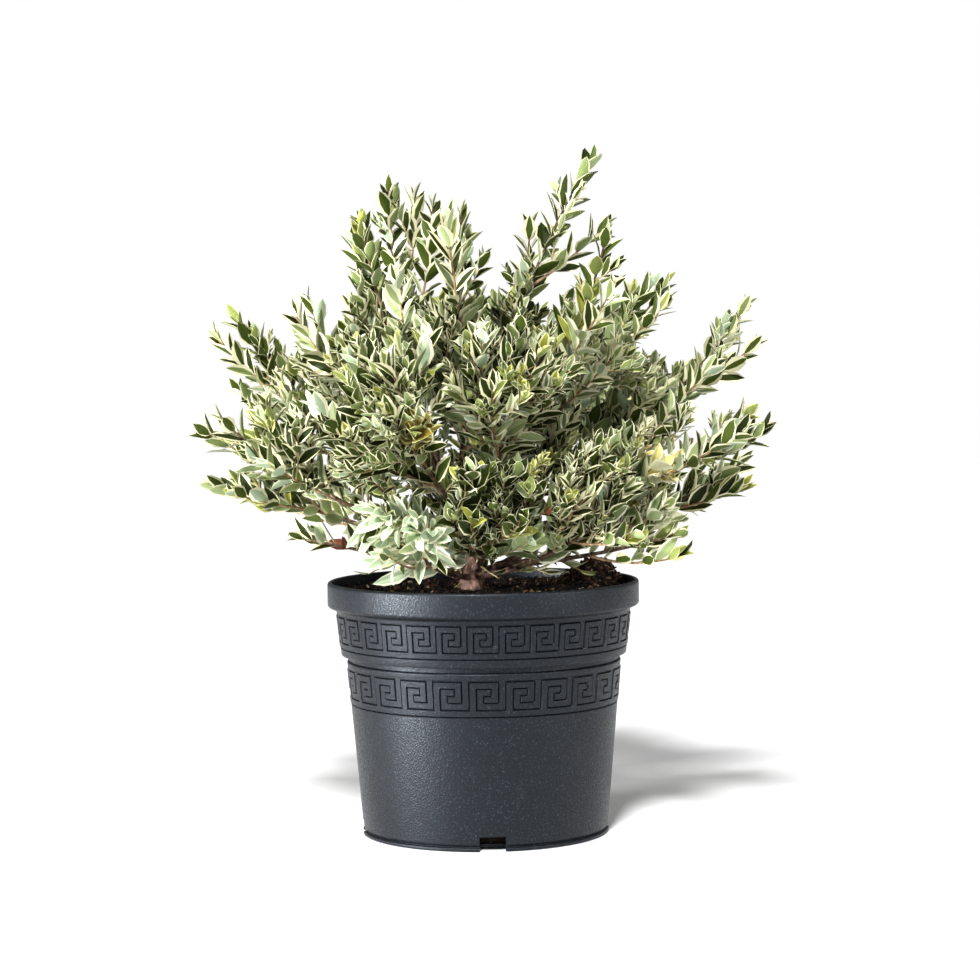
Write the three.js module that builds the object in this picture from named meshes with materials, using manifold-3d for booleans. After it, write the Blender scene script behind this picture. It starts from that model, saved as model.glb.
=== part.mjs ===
// A variegated tarentina common myrtle in its plastic nursery pot.
// Millimetres, +Z up. +X is to the right of the front view, +Y goes to the back.
// The origin is the middle of the pot's flat underside.
// A short trunk stands on the potting mix and forks into boughs. Each bough ends where it enters
// its own mass of foliage, whose stem grows on from the bough's tip.
import * as THREE from "three";
import { mergeVertices } from "three/addons/utils/BufferGeometryUtils.js";
import Module from "manifold-3d";

const wasm = await Module();
wasm.setup();

// Driving dimensions of the pot: a round moulded pot of 22 cm across and about 5 litres
const POT_HEIGHT = 178;
const RIM_RADIUS = 110;
const COLLAR_HEIGHT = 17;
const BAND_TOP_RADIUS = 104;
const BAND_FOOT_RADIUS = 100.6;
const BAND_FOOT_Z = 126.5;
const BODY_TOP_RADIUS = 96.8;
const BODY_FOOT_RADIUS = 86.6;
const STEP_HEIGHT = 4;
const BASE_RADIUS = 87.2;
const BASE_THICKNESS = 2.2;
const WALL = 2.4;
const FLOOR = 3;
const NOTCH_COUNT = 4;
const NOTCH_WIDTH = 18;
const NOTCH_HEIGHT = 10;
const NOTCH_DEPTH = 14;
const NOTCH_TURN = THREE.MathUtils.degToRad(3);
const POT_SIDES = 40;

// Potting mix: its level, and the clod that is heaped against the rim at the back on the right
const MIX_TOP = 172.5;
const MIX_EDGE_DROP = 2.5;
const MIX_FLAT_RADIUS = 30;
const CLOD = { x: 80, y: 36, halfWidth: 32, halfDepth: 22, height: 18 };

// Trunk: its foot stands a little left and in front of the pot's middle
const TRUNK_FOOT = new THREE.Vector3(-7, -10, MIX_TOP + 0.3);
const TRUNK_TOP = new THREE.Vector3(-4, -8, MIX_TOP + 36);
const FLARE_RADIUS = 11;
const TRUNK_RADIUS = 6.4;
const TRUNK_SIDES = 10;

// Clearance between two solids that meet
const GAP = 0.3;

// Limbs, stems and shoots
const USUAL_SAG = 0.09;
const BOUGH_FOOT_RADIUS = 2.6;
const BOUGH_TIP_RADIUS = 1.9;
const STEM_TIP_RADIUS = 0.9;
const SHOOT_FOOT_RADIUS = 1.5;
const SHOOT_TIP_RADIUS = 0.9;
const BOUGH_SIDES = 5;
const TWIG_SIDES = 3;
const USUAL_SHOOTS = 3;
const SHORTEST_SHOOT = 34;
const LEAF_LENGTH = 34;
const LEAF_WIDTH = 15;
const LEAF_SIZES = [1, 0.75, 0.55];
const LEAVES_APART = 13;
const TWIG_ROOM = 2.5;
const LEAF_FOLD = 1.8;
const LEAF_WIDEST = 0.43;
const LEAF_SINK = 0.5;
const LEAF_SPACING = 54;
const TIP_LEAF_REACH = LEAF_LENGTH - 4;

// The dome of the crown, which only the tips of the leaders pass: an egg about the trunk's foot, with
// its widest place this far above the potting mix
const DOME_RADIUS = 188;
const DOME_MIDDLE = 118;
const DOME_ABOVE = 175;
const DOME_BELOW = 154;
const DOME_POWER = 1.5;
const LEADER_ROOM = 32;

const GOLDEN_ANGLE = THREE.MathUtils.degToRad(137.5);

// The boughs. A tip lies `out` from the trunk's foot in the compass direction `turn` (degrees, 0 to
// the right, 90 to the back) and `up` above the potting mix. `fork` is the height on the trunk where
// the bough starts, and a side bough has `from` and `at` instead: its parent and the share of the
// parent's length. `bare` is the share of the limb below its foliage, and `sag` how far the limb hangs
// below the straight line to its tip, as a share of that line (a limb with less than none arches).
// `shoots` is how many side shoots its foliage has.
const BOUGHS = [
  { name: "low_left", turn: 183, out: 187, up: 80, fork: 10, bare: 0.46, sag: -0.06 },
  { name: "low_fore_left", turn: 240, out: 112, up: 42, fork: 8, bare: 0.3 },
  { name: "low_fore", turn: 278, out: 130, up: 62, fork: 14, bare: 0.32 },
  { name: "low_fore_right", turn: 318, out: 142, up: 60, fork: 8, bare: 0.34 },
  { name: "low_right", turn: 356, out: 196, up: 84, fork: 12, bare: 0.4 },
  { name: "low_back_right", turn: 38, out: 180, up: 88, fork: 10, bare: 0.42 },
  { name: "low_back", turn: 86, out: 172, up: 80, fork: 10, bare: 0.34 },
  { name: "low_back_left", turn: 135, out: 176, up: 78, fork: 12, bare: 0.34 },
  { name: "mid_left", turn: 172, out: 176, up: 192, fork: 22, bare: 0.3, shoots: 4 },
  { name: "mid_fore", turn: 285, out: 136, up: 190, fork: 22, bare: 0.3 },
  { name: "mid_right", turn: 5, out: 205, up: 198, fork: 24, bare: 0.26, shoots: 5 },
  { name: "mid_back_right", turn: 52, out: 168, up: 192, fork: 24, bare: 0.3 },
  { name: "mid_back_left", turn: 126, out: 165, up: 188, fork: 22, bare: 0.3 },
  { name: "inner_fore", turn: 318, out: 66, up: 128, fork: 26, bare: 0.24 },
  { name: "top_left", turn: 186, out: 80, up: 264, fork: 33, bare: 0.26, sag: 0.06 },
  { name: "top_fore", turn: 262, out: 46, up: 268, fork: 33, bare: 0.26 },
  { name: "top_tall", turn: 22, out: 91, up: 311, fork: 33, bare: 0.26, sag: -0.12 },
  { name: "low_left_fore", turn: 206, out: 138, up: 44, fork: 6, bare: 0.5, shoots: 1, sag: -0.02 },
  { name: "low_right_fore", turn: 336, out: 160, up: 40, from: "low_right", at: 0.14, bare: 0.4, sag: 0.03 },
  { name: "mid_left_fore", turn: 206, out: 194, up: 120, from: "mid_left", at: 0.12, bare: 0.3 },
  { name: "mid_fore_left", turn: 243, out: 150, up: 160, from: "mid_fore", at: 0.14, bare: 0.3 },
  { name: "mid_right_fore", turn: 342, out: 206, up: 120, from: "mid_right", at: 0.12, bare: 0.3 },
  { name: "mid_back", turn: 88, out: 160, up: 206, from: "mid_back_left", at: 0.16, bare: 0.26 },
  { name: "top_left_back", turn: 140, out: 82, up: 290, from: "top_left", at: 0.14, bare: 0.22 },
  { name: "top_left_fore", turn: 214, out: 100, up: 218, from: "top_left", at: 0.1, bare: 0.24 },
  { name: "top_right", turn: 342, out: 108, up: 250, from: "top_tall", at: 0.14, bare: 0.22 },
  { name: "top_back_right", turn: 62, out: 102, up: 262, from: "top_tall", at: 0.1, bare: 0.24 },
  { name: "upper_right", turn: 352, out: 132, up: 214, from: "top_right", at: 0.08, bare: 0.28, sag: 0.06 },
];

// A number from 0 to 1 that depends only on the three counters: an integer hash, the same every run
function chance(limb, shoot, use) {
  let h = (limb * 65536 + shoot * 256 + use + 1) >>> 0;
  h = Math.imul(h ^ (h >>> 16), 0x7feb352d) >>> 0;
  h = Math.imul(h ^ (h >>> 15), 0x846ca68b) >>> 0;
  return ((h ^ (h >>> 16)) >>> 0) / 4294967296;
}

// 1/2, 1/4, 3/4, 1/8, 5/8 and so on: places that stay even however many are taken
function evenPlace(k) {
  let share = 0;
  for (let n = k + 1, half = 0.5; n > 0; n >>= 1, half /= 2) share += (n & 1) * half;
  return share;
}

// A closed geometry as a solid: corners that share a place are joined, faces with no area dropped
function solidOf(geometry) {
  const bare = new THREE.BufferGeometry().setAttribute("position", geometry.getAttribute("position"));
  if (geometry.getIndex()) bare.setIndex(geometry.getIndex());
  const joined = mergeVertices(bare, 1e-3);
  const corners = joined.getIndex().array;
  const kept = [];
  for (let i = 0; i < corners.length; i += 3) {
    const [a, b, c] = [corners[i], corners[i + 1], corners[i + 2]];
    if (a !== b && b !== c && a !== c) kept.push(a, b, c);
  }
  return new wasm.Manifold(
    new wasm.Mesh({
      numProp: 3,
      vertProperties: joined.getAttribute("position").array,
      triVerts: new Uint32Array(kept),
    }),
  );
}

// A solid as a geometry
function geometryOf(solid) {
  const mesh = solid.getMesh();
  const geometry = new THREE.BufferGeometry();
  geometry.setAttribute("position", new THREE.BufferAttribute(mesh.vertProperties, 3));
  geometry.setIndex(new THREE.BufferAttribute(mesh.triVerts, 1));
  geometry.computeVertexNormals();
  return geometry;
}

// The largest body of a solid: loose scraps and sealed hollows are left out
function wholeBody(solid) {
  const bodies = solid.decompose();
  return bodies.reduce((best, body) => (body.volume() > best.volume() ? body : best));
}

// A profile of [radius, height] pairs turned about the Z axis
function turned(profile, sides) {
  const points = profile.map(([radius, height]) => new THREE.Vector2(radius, height));
  return new THREE.LatheGeometry(points, sides).rotateX(Math.PI / 2);
}

// Three directions at a place on a curve: along it, to its side (as near to `hint` as it can be) and
// square to both
function frameOn(curve, place, hint) {
  const along = curve.getTangent(Math.min(place, 1));
  const side = hint.clone().addScaledVector(along, -hint.dot(along)).normalize();
  return { along, side, over: side.clone().cross(along) };
}

// A cylinder bent along a stretch of a curve, with a radius for each share of that stretch
function bentCylinder(curve, hint, start, end, radiusAt, sides, steps) {
  const geometry = new THREE.CylinderGeometry(1, 1, 1, sides, steps);
  const places = geometry.getAttribute("position");
  const corner = new THREE.Vector3();
  for (let i = 0; i < places.count; i += 1) {
    corner.fromBufferAttribute(places, i);
    const share = corner.y + 0.5;
    const place = start + (end - start) * share;
    const { side, over } = frameOn(curve, place, hint);
    const radius = radiusAt(share);
    const moved = curve.getPoint(place);
    moved.addScaledVector(side, corner.x * radius).addScaledVector(over, corner.z * radius);
    places.setXYZ(i, moved.x, moved.y, moved.z);
  }
  return geometry;
}

// How high the clod stands above the rest of the potting mix at a place
function clodHeight(x, y) {
  const away = Math.hypot((x - CLOD.x) / CLOD.halfWidth, (y - CLOD.y) / CLOD.halfDepth);
  return away < 1 ? CLOD.height * (1 - away * away) ** 2 : 0;
}

// The pot: base flange, tapered body, the wider band above its step and the collar round the mouth
function makePot() {
  const collarFoot = POT_HEIGHT - COLLAR_HEIGHT;
  const bodyTop = BAND_FOOT_Z - STEP_HEIGHT;
  const outside = [
    [0, 0],
    [BASE_RADIUS, 0],
    [BASE_RADIUS, BASE_THICKNESS],
    [BODY_FOOT_RADIUS - 1.4, BASE_THICKNESS + 0.6],
    [BODY_FOOT_RADIUS, BASE_THICKNESS + 2.4],
    [BODY_TOP_RADIUS, bodyTop],
    [BAND_FOOT_RADIUS, BAND_FOOT_Z],
    [BAND_TOP_RADIUS, collarFoot - 3],
    [RIM_RADIUS, collarFoot],
    [RIM_RADIUS, POT_HEIGHT - 1.5],
    [RIM_RADIUS - 1.5, POT_HEIGHT],
  ];
  const inside = [
    [RIM_RADIUS - WALL - 0.6, POT_HEIGHT - 1.5],
    [RIM_RADIUS - WALL - 0.6, collarFoot + 2],
    [BAND_TOP_RADIUS - WALL, collarFoot - 5],
    [BODY_TOP_RADIUS - WALL, bodyTop],
    [BODY_FOOT_RADIUS - WALL, FLOOR],
    [0, FLOOR],
  ];
  let pot = solidOf(turned([...outside, ...inside], POT_SIDES));
  for (let k = 0; k < NOTCH_COUNT; k += 1) {
    const notch = new THREE.BoxGeometry(NOTCH_WIDTH, NOTCH_DEPTH * 2, NOTCH_HEIGHT * 2);
    notch.translate(0, -BASE_RADIUS, 0).rotateZ(NOTCH_TURN + (k * 2 * Math.PI) / NOTCH_COUNT);
    pot = pot.subtract(solidOf(notch));
  }
  return { solid: pot, inside };
}

// The potting mix fills the pot, 0.3 mm clear of its wall, with a flat place under the trunk
function makeMix(inside) {
  const edge = inside[1][0] - GAP;
  const wall = inside
    .slice(2, 5)
    .map(([radius, height]) => [radius - GAP, height + GAP])
    .reverse();
  const rings = [90, 66, MIX_FLAT_RADIUS];
  const drop = (radius) => (MIX_EDGE_DROP * (radius - MIX_FLAT_RADIUS)) / (edge - MIX_FLAT_RADIUS);
  const surface = [edge, ...rings].map((radius) => [radius, MIX_TOP - drop(radius)]);
  const profile = [[0, FLOOR + GAP], ...wall, [edge, inside[1][1] + GAP], ...surface, [0, MIX_TOP]];
  const geometry = turned(profile, POT_SIDES);
  const places = geometry.getAttribute("position");
  for (let i = 0; i < places.count; i += 1) {
    const [x, y, z] = [places.getX(i), places.getY(i), places.getZ(i)];
    const onTop = z > MIX_TOP - MIX_EDGE_DROP - 1;
    if (onTop) places.setZ(i, z + clodHeight(x, y));
  }
  return solidOf(geometry);
}

// The trunk: upright at its flat foot, leaning as it rises, wide at the root flare
function makeTrunk(spare) {
  const middle = new THREE.Vector3(TRUNK_FOOT.x, TRUNK_FOOT.y, (TRUNK_FOOT.z + TRUNK_TOP.z) / 2);
  const line = new THREE.QuadraticBezierCurve3(TRUNK_FOOT, middle, TRUNK_TOP);
  const swell = (share) => TRUNK_RADIUS + (FLARE_RADIUS - TRUNK_RADIUS) * (1 - share) ** 3;
  const crown = (share) => (share > 0.95 ? 0.8 : 1);
  const radiusAt = (share) => swell(share) * crown(share) + spare;
  const end = 1 + spare / (TRUNK_TOP.z - TRUNK_FOOT.z);
  const hint = new THREE.Vector3(1, 0, 0);
  return { line, solid: solidOf(bentCylinder(line, hint, 0, end, radiusAt, TRUNK_SIDES, 4)) };
}

// The line of each limb, from the fork to the tip of its foliage. It starts flatter than it ends.
function limbLines(trunkLine) {
  const lines = new Map();
  for (const bough of BOUGHS) {
    const turn = THREE.MathUtils.degToRad(bough.turn);
    const outward = new THREE.Vector3(Math.cos(turn), Math.sin(turn), 0);
    const tip = TRUNK_FOOT.clone().addScaledVector(outward, bough.out);
    tip.z = MIX_TOP + bough.up;
    const start = bough.from
      ? lines.get(bough.from).curve.getPoint(bough.at)
      : trunkLine.getPoint(bough.fork / (TRUNK_TOP.z - TRUNK_FOOT.z));
    if (bough.fork > 30) start.addScaledVector(outward, 3.4);
    const chord = tip.clone().sub(start);
    tip.addScaledVector(chord.clone().normalize(), -TIP_LEAF_REACH);
    const side = new THREE.Vector3(-outward.y, outward.x, 0);
    const below = chord.clone().cross(side).normalize();
    if (below.z > 0) below.negate();
    const sag = (bough.sag ?? USUAL_SAG) * chord.length();
    const control = start.clone().add(tip).multiplyScalar(0.5).addScaledVector(below, sag);
    const curve = new THREE.QuadraticBezierCurve3(start, control, tip);
    lines.set(bough.name, { curve, hint: side, length: curve.getLength() });
  }
  return lines;
}

// A bough as one tapering limb, cut clear of the trunk and of what it grows from
function makeBough(bough, line, room, radiusSpare) {
  const taper = (share) =>
    BOUGH_FOOT_RADIUS + (BOUGH_TIP_RADIUS - BOUGH_FOOT_RADIUS) * share + radiusSpare;
  const rod = solidOf(bentCylinder(line.curve, line.hint, 0, bough.bare, taper, BOUGH_SIDES, 2));
  return room ? wholeBody(rod.subtract(room)) : rod;
}

// Places along a curve as plain points, for measuring how far others are from it
function sampled(curve, start, end, count) {
  return Array.from({ length: count + 1 }, (_, i) =>
    curve.getPoint(start + ((end - start) * i) / count),
  );
}

// The shortest distance from a point to a chain of points
function distanceTo(chain, point) {
  const nearest = new THREE.Vector3();
  const piece = new THREE.Line3();
  let best = Infinity;
  for (let i = 1; i < chain.length; i += 1) {
    piece.set(chain[i - 1], chain[i]).closestPointToPoint(point, true, nearest);
    best = Math.min(best, nearest.distanceTo(point));
  }
  return best;
}

// Whether a point is inside the dome of the crown
function insideDome(point) {
  const out = Math.hypot(point.x - TRUNK_FOOT.x, point.y - TRUNK_FOOT.y) / DOME_RADIUS;
  const up = point.z - MIX_TOP - DOME_MIDDLE;
  const height = Math.abs(up) / (up > 0 ? DOME_ABOVE : DOME_BELOW);
  return out ** DOME_POWER + height ** DOME_POWER < 1;
}

// What a mass of foliage may use: nearer to its own stem than to any other, above the pot, and clear
// of every limb
function spaceOf(own, stems, limbs) {
  const others = stems.filter((chain) => chain !== own);
  return (point, spare) => {
    if (point.z < POT_HEIGHT + 4 + clodHeight(point.x, point.y)) return false;
    if (!insideDome(point) && distanceTo(own, point) > LEADER_ROOM) return false;
    if (limbs.some(({ chain, radius }) => distanceTo(chain, point) < radius + spare + 0.6)) {
      return false;
    }
    const near = distanceTo(own, point) + spare + 0.6;
    return others.every((chain) => distanceTo(chain, point) > near);
  };
}

// A leaf of four faces, folded along its midrib, with its base at the origin and its widest place
// below the middle
function leafBlade() {
  const blade = new THREE.TetrahedronGeometry(1).rotateZ(-Math.PI / 4);
  blade.computeBoundingBox();
  const reach = blade.boundingBox.max;
  const places = blade.getAttribute("position");
  for (let i = 0; i < places.count; i += 1) {
    const alongMidrib = places.getX(i) / reach.x;
    const across = places.getY(i) / reach.y;
    const length = Math.abs(alongMidrib) < 0.5 ? LEAF_WIDEST : (alongMidrib + 1) / 2;
    const onMidrib = places.getZ(i) > 0;
    places.setXYZ(
      i,
      (across * LEAF_WIDTH) / 2,
      length * LEAF_LENGTH - LEAF_SINK,
      onMidrib ? 0 : LEAF_FOLD,
    );
  }
  return blade;
}
const BLADE = leafBlade();
const LEAF_CHECKS = [
  [0, 0.3 * LEAF_LENGTH],
  [-LEAF_WIDTH / 2, LEAF_WIDEST * LEAF_LENGTH],
  [LEAF_WIDTH / 2, LEAF_WIDEST * LEAF_LENGTH],
  [-LEAF_WIDTH / 4, 0.72 * LEAF_LENGTH],
  [LEAF_WIDTH / 4, 0.72 * LEAF_LENGTH],
  [0, LEAF_LENGTH],
];

// One leaf at a place on a shoot, turned `roll` about it and opened by `opening` from its direction.
// Where it would leave its mass's space it is tried smaller, and left out if that doesn't fit either,
// or if another leaf is already there.
function addLeaf(mass, fits, point, frame, roll, opening) {
  const outward = frame.side
    .clone()
    .multiplyScalar(Math.cos(roll))
    .addScaledVector(frame.over, Math.sin(roll));
  const along = frame.along
    .clone()
    .multiplyScalar(Math.cos(opening))
    .addScaledVector(outward, Math.sin(opening));
  const across = along.clone().cross(outward).normalize();
  const face = across.clone().cross(along);
  for (const size of LEAF_SIZES) {
    const matrix = new THREE.Matrix4().makeBasis(across, along, face);
    matrix.scale(new THREE.Vector3(size, size, 1)).setPosition(point);
    const middle = new THREE.Vector3(0, LEAF_LENGTH / 2, 0).applyMatrix4(matrix);
    if (mass.middles.some((other) => other.distanceTo(middle) < LEAVES_APART)) return;
    const clear = LEAF_CHECKS.every(([x, y]) => {
      const check = new THREE.Vector3(x, y, 0).applyMatrix4(matrix);
      if (mass.twigs.some((chain) => distanceTo(chain, check) < TWIG_ROOM)) return false;
      return fits(check, LEAF_FOLD);
    });
    if (clear) {
      mass.solids.push(solidOf(BLADE.clone().applyMatrix4(matrix)));
      mass.middles.push(middle);
      return;
    }
  }
}

// The leaves of a shoot: opposite pairs, each pair turned a quarter from the last, and one at the tip
function addLeaves(mass, fits, { curve, hint, length, from }, limb, shoot) {
  const count = Math.max(2, Math.round(((1 - from) * length) / LEAF_SPACING));
  for (let k = 0; k < count; k += 1) {
    const place = from + ((1 - from) * (k + 0.35)) / count;
    const frame = frameOn(curve, place, hint);
    const point = curve.getPoint(place);
    const roll = (k * Math.PI) / 2 + 0.9 * chance(limb, shoot, 20);
    const opening = THREE.MathUtils.degToRad(50 - 14 * (k / count) + 8 * chance(limb, shoot, 30 + k));
    addLeaf(mass, fits, point, frame, roll, opening);
    addLeaf(mass, fits, point, frame, roll + Math.PI, opening);
  }
  const end = 1 - 3 / length;
  addLeaf(mass, fits, curve.getPoint(end), frameOn(curve, end, hint), 0.6, 0.1);
}

// A shoot from a stem, opening outwards at first and then turning with the stem. It stops where it
// would leave its mass's space.
function addShoot(mass, fits, line, first, limb, shoot) {
  const at = first + (1 - first) * (0.04 + 0.66 * evenPlace(shoot));
  const stem = frameOn(line.curve, at, line.hint);
  const roll = shoot * GOLDEN_ANGLE + 0.7 * chance(limb, shoot, 0) + limb;
  const spread = THREE.MathUtils.degToRad(19 + 15 * chance(limb, shoot, 1));
  const outward = stem.side
    .clone()
    .multiplyScalar(Math.cos(roll))
    .addScaledVector(stem.over, Math.sin(roll));
  const length = (1 - at) * line.length * (0.74 + 0.28 * chance(limb, shoot, 2));
  const chord = stem.along
    .clone()
    .multiplyScalar(Math.cos(spread))
    .addScaledVector(outward, Math.sin(spread));
  chord.z += 0.1;
  chord.normalize();
  const start = line.curve.getPoint(at);
  const tip = start.clone().addScaledVector(chord, length);
  const control = start.clone().add(tip).multiplyScalar(0.5).addScaledVector(outward, 0.1 * length);
  const curve = new THREE.QuadraticBezierCurve3(start, control, tip);
  const hint = stem.along.clone().cross(outward);
  const clear = sampled(curve, 0, 1, 12).findIndex(
    (point, i) => i > 2 && !fits(point, SHOOT_FOOT_RADIUS),
  );
  const end = clear < 0 ? 1 : (clear - 1) / 12;
  if (end * length < SHORTEST_SHOOT) return;
  const kept = sampled(curve, 0, end, 2);
  kept[1].copy(curve.getPoint(end / 2)).multiplyScalar(2);
  kept[1].addScaledVector(kept[0], -0.5).addScaledVector(kept[2], -0.5);
  const shown = new THREE.QuadraticBezierCurve3(...kept);
  const taper = (share) => SHOOT_FOOT_RADIUS + (SHOOT_TIP_RADIUS - SHOOT_FOOT_RADIUS) * share;
  mass.solids.push(solidOf(bentCylinder(shown, hint, 0, 1, taper, TWIG_SIDES, 2)));
  mass.twigs.push(sampled(shown, 0, 1, 4));
  mass.leafy.push({ curve: shown, hint, length: end * length, from: 0.3 });
}

// A mass of foliage: the stem that grows on from the bough's tip, its shoots and all their leaves
function makeFoliage(bough, line, fits, limb) {
  const first = bough.bare + GAP / line.length;
  const taper = (share) => BOUGH_TIP_RADIUS + (STEM_TIP_RADIUS - BOUGH_TIP_RADIUS) * share;
  const stem = bentCylinder(line.curve, line.hint, first, 1, taper, TWIG_SIDES, 4);
  const mass = {
    solids: [solidOf(stem)],
    twigs: [sampled(line.curve, first, 1, 8)],
    leafy: [{ ...line, from: first + 0.05 * (1 - first) }],
    middles: [],
  };
  for (let shoot = 0; shoot < (bough.shoots ?? USUAL_SHOOTS); shoot += 1) {
    addShoot(mass, fits, line, first, limb, shoot);
  }
  mass.leafy.forEach((twig, k) => addLeaves(mass, fits, twig, limb, k));
  return wholeBody(wasm.Manifold.union(mass.solids));
}

// Colours and finishes
const finish = (color, roughness) => new THREE.MeshStandardMaterial({ color, roughness, metalness: 0 });
const potPlastic = finish(0x34383d, 0.62);
const pottingMix = finish(0x1d1712, 0.95);
const bark = finish(0x5a4433, 0.9);
const leaf = finish(0x6d8450, 0.55);

const plant = new THREE.Group();
function add(name, solid, material) {
  const mesh = new THREE.Mesh(geometryOf(solid), material);
  mesh.name = name;
  plant.add(mesh);
}

// Assembly
const pot = makePot();
add("pot", pot.solid, potPlastic);
add("potting_mix", makeMix(pot.inside), pottingMix);
const trunk = makeTrunk(0);
add("trunk", trunk.solid, bark);

const lines = limbLines(trunk.line);
const rooms = new Map();
for (const bough of BOUGHS) rooms.set(bough.name, makeBough(bough, lines.get(bough.name), null, GAP));
for (const bough of BOUGHS) {
  const parentRoom = bough.from ? rooms.get(bough.from) : makeTrunk(GAP).solid;
  const line = lines.get(bough.name);
  add(`bough_${bough.name}`, makeBough(bough, line, parentRoom, 0), bark);
}

const limbs = BOUGHS.map((bough) => ({
  chain: sampled(lines.get(bough.name).curve, 0, bough.bare, 6),
  radius: BOUGH_FOOT_RADIUS,
}));
limbs.push({ chain: sampled(trunk.line, 0, 1, 4), radius: FLARE_RADIUS });
const stems = BOUGHS.map((bough) => sampled(lines.get(bough.name).curve, bough.bare, 1, 10));
BOUGHS.forEach((bough, i) => {
  const fits = spaceOf(stems[i], stems, limbs);
  add(`foliage_${bough.name}`, makeFoliage(bough, lines.get(bough.name), fits, i), leaf);
});

export default plant;
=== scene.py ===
# A variegated tarentina common myrtle: a dwarf evergreen shrub with small cream-edged leaves, in the
# black nursery pot that it was sold in. Lengths are millimetres until a mesh is made from them.
from collections import namedtuple

import bpy
import numpy as np
from mathutils import Matrix, Vector


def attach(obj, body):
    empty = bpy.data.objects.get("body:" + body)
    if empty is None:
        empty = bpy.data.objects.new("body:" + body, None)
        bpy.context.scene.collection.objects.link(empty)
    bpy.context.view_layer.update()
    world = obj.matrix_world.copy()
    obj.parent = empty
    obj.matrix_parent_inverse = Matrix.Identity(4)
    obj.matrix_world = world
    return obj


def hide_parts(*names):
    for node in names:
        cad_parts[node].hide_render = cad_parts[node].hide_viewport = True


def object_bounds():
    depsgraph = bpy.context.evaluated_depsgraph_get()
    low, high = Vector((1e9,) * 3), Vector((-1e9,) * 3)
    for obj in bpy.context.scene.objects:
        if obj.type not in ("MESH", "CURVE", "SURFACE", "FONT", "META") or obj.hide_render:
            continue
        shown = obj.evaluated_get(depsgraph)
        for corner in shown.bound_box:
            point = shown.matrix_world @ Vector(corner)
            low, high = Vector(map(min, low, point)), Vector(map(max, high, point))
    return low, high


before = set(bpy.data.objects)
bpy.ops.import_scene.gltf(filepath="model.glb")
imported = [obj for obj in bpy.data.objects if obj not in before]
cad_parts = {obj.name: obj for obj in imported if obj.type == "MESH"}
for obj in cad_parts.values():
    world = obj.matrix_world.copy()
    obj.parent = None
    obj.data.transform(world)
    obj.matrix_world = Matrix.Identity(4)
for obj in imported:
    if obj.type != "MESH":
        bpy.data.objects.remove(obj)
cad_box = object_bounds()

# The pot
# A round nursery pot of 22 cm, injection moulded in one piece from black polypropylene with a mineral
# filler that leaves it dull and sandy. Its collar, its wide band and its tapered body are one wall,
# and four drain notches are cut through the foot.
POT_HEIGHT = 178
RIM_RADIUS = 110
COLLAR_FOOT = 161
BAND_TOP_RADIUS = 104
BAND_TOP_Z = 158
BAND_FOOT_RADIUS = 100.6
BAND_FOOT_Z = 126.5
BODY_TOP_RADIUS = 96.8
BODY_TOP_Z = 122.5
BODY_FOOT_RADIUS = 86.6
BODY_FOOT_Z = 4.6
BASE_RADIUS = 87.2
POT_WALL = 2.4
POT_FLOOR = 3
NOTCH_SIZE = (18, 28, 20)
NOTCH_TURN = 3
POT_COLUMNS = 200
UPPER_BORDER_Z = (132.4, 155.0)
LOWER_BORDER_Z = (92.6, 116.8)
CHANNEL = 1.4


def band_wall(z):
    """The pot's outer radius at a height on its wide band."""
    share = (z - BAND_FOOT_Z) / (BAND_TOP_Z - BAND_FOOT_Z)
    return BAND_FOOT_RADIUS + (BAND_TOP_RADIUS - BAND_FOOT_RADIUS) * share


def body_wall(z):
    """The pot's outer radius at a height on its body."""
    share = (z - BODY_FOOT_Z) / (BODY_TOP_Z - BODY_FOOT_Z)
    return BODY_FOOT_RADIUS + (BODY_TOP_RADIUS - BODY_FOOT_RADIUS) * share


def channel(wall_at, heights):
    """Profile rows for the shallow channel round the wall that a border is set in."""
    foot, top = heights
    return [
        (wall_at(foot), foot - 0.9, 0.1),
        (wall_at(foot) - CHANNEL, foot - 0.8, 0.1),
        (wall_at(top) - CHANNEL, top + 0.8, 0.1),
        (wall_at(top), top + 0.9, 0.1),
    ]


def unit(vectors):
    """Each vector divided by its own length."""
    return vectors / np.linalg.norm(vectors, axis=-1, keepdims=True)


def on_curve(curves, share):
    """The place at a share along each curve, the parabola that leaves its first point towards its
    second and ends in its third. Past 1 it runs on."""
    t = np.asarray(share, float)[..., None]
    first, middle, last = (curves[..., i, :] for i in range(3))
    return (1 - t) ** 2 * first + 2 * t * (1 - t) * middle + t**2 * last


def rounded(profile):
    """A profile of (radius, height, reach) rows with its corners rounded: each corner becomes the
    parabola that starts `reach` before it and ends `reach` after it, in five steps."""
    rows = np.array(profile, float)
    places = rows[:, :2]
    reach = rows[1:-1, 2:]
    corner = places[1:-1]
    before = corner + unit(places[:-2] - corner) * reach
    after = corner + unit(places[2:] - corner) * reach
    arcs = on_curve(np.stack([before, corner, after], axis=1)[:, None], np.linspace(0, 1, 6))
    return np.concatenate([places[:1], arcs.reshape(-1, 2), places[-1:]])


def around(radius, angle, height):
    """Places round the upright axis: x = radius cos angle and y = radius sin angle."""
    places = (radius * np.cos(angle), radius * np.sin(angle), height)
    return np.stack(np.broadcast_arrays(*places), axis=-1)


def ring_faces(rings, columns):
    """The quads between rings that lie one after another, and the triangles from the first ring and
    from the last to a point each, which follow the rings."""
    here = np.arange((rings - 1) * columns).reshape(-1, columns)
    there = np.roll(here, -1, axis=1)
    quads = np.stack([here, there, there + columns, here + columns], axis=-1).reshape(-1, 4)
    start = np.full(columns, rings * columns)
    foot = np.stack([start, there[0], here[0]], axis=-1)
    head = np.stack([start + 1, here[-1] + columns, there[-1] + columns], axis=-1)
    return quads, np.concatenate([foot, head])


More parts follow.
